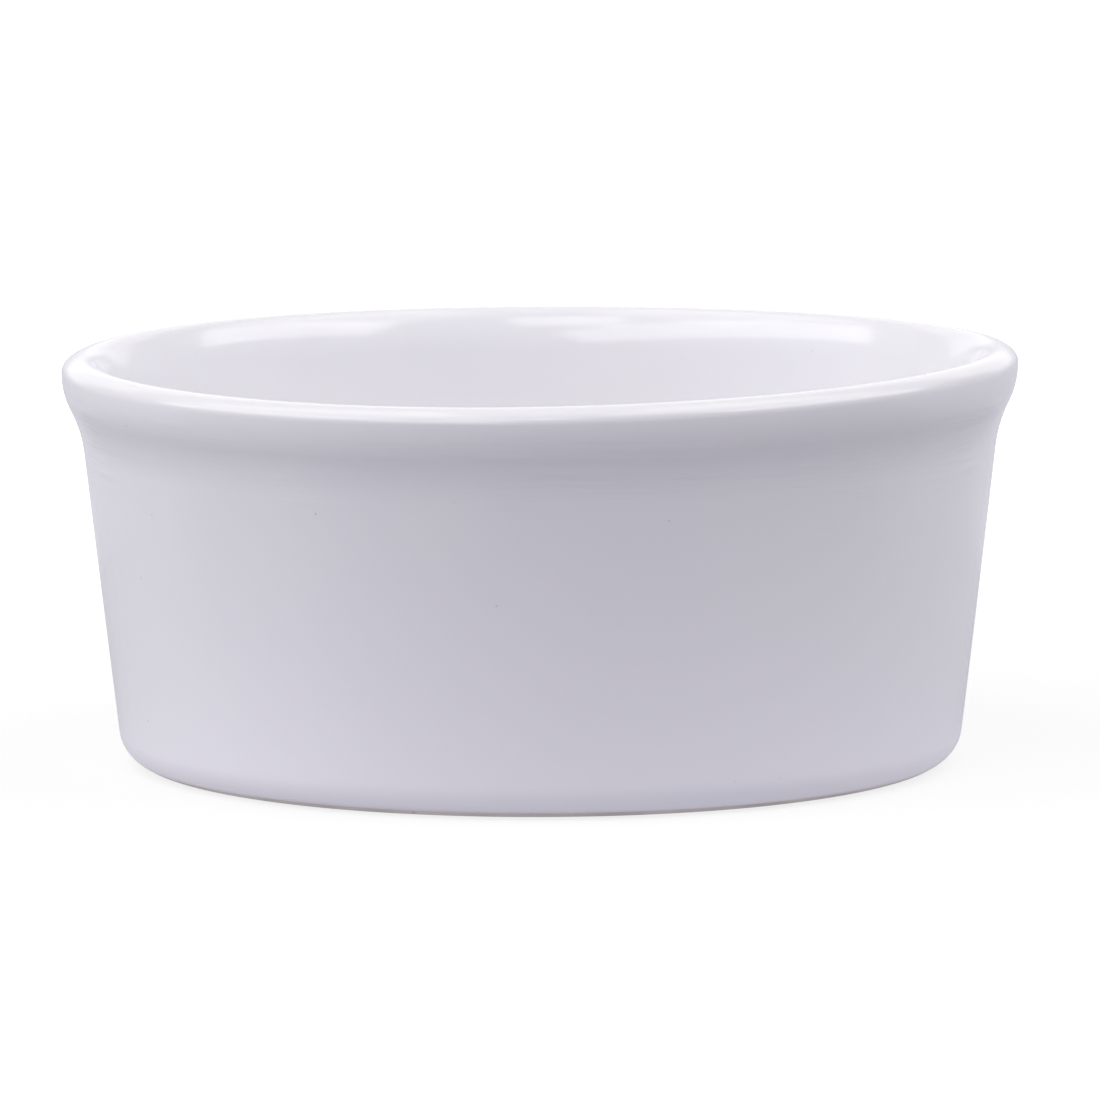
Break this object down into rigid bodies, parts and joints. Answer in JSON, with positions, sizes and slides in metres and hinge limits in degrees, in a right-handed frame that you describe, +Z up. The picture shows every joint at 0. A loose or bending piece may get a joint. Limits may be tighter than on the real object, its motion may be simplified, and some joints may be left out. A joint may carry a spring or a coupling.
{
  "type": "ramekin",
  "caption": "Round white-glazed ramekin with a plain drafted wall, a flared and rolled rim, and a bare foot ring round a shallow recess; it bakes and serves single portions.",
  "frame": {"origin": "centre of the foot ring, in the plane that the dish rests on", "axes": "+Z up along the dish's axis, out of its mouth; the dish is round, so +X and +Y are free"},
  "size_m": [0.12, 0.12, 0.0515],
  "materials": {
    "bare_clay": "fired, unglazed, matt, finely sanded",
    "white_glaze": "white gloss glaze"
  },
  "bodies": {
    "root": {"clay_body": "bare_clay", "glaze_coat": "white_glaze", "recess_glaze": "white_glaze"}
  },
  "joints": []
}
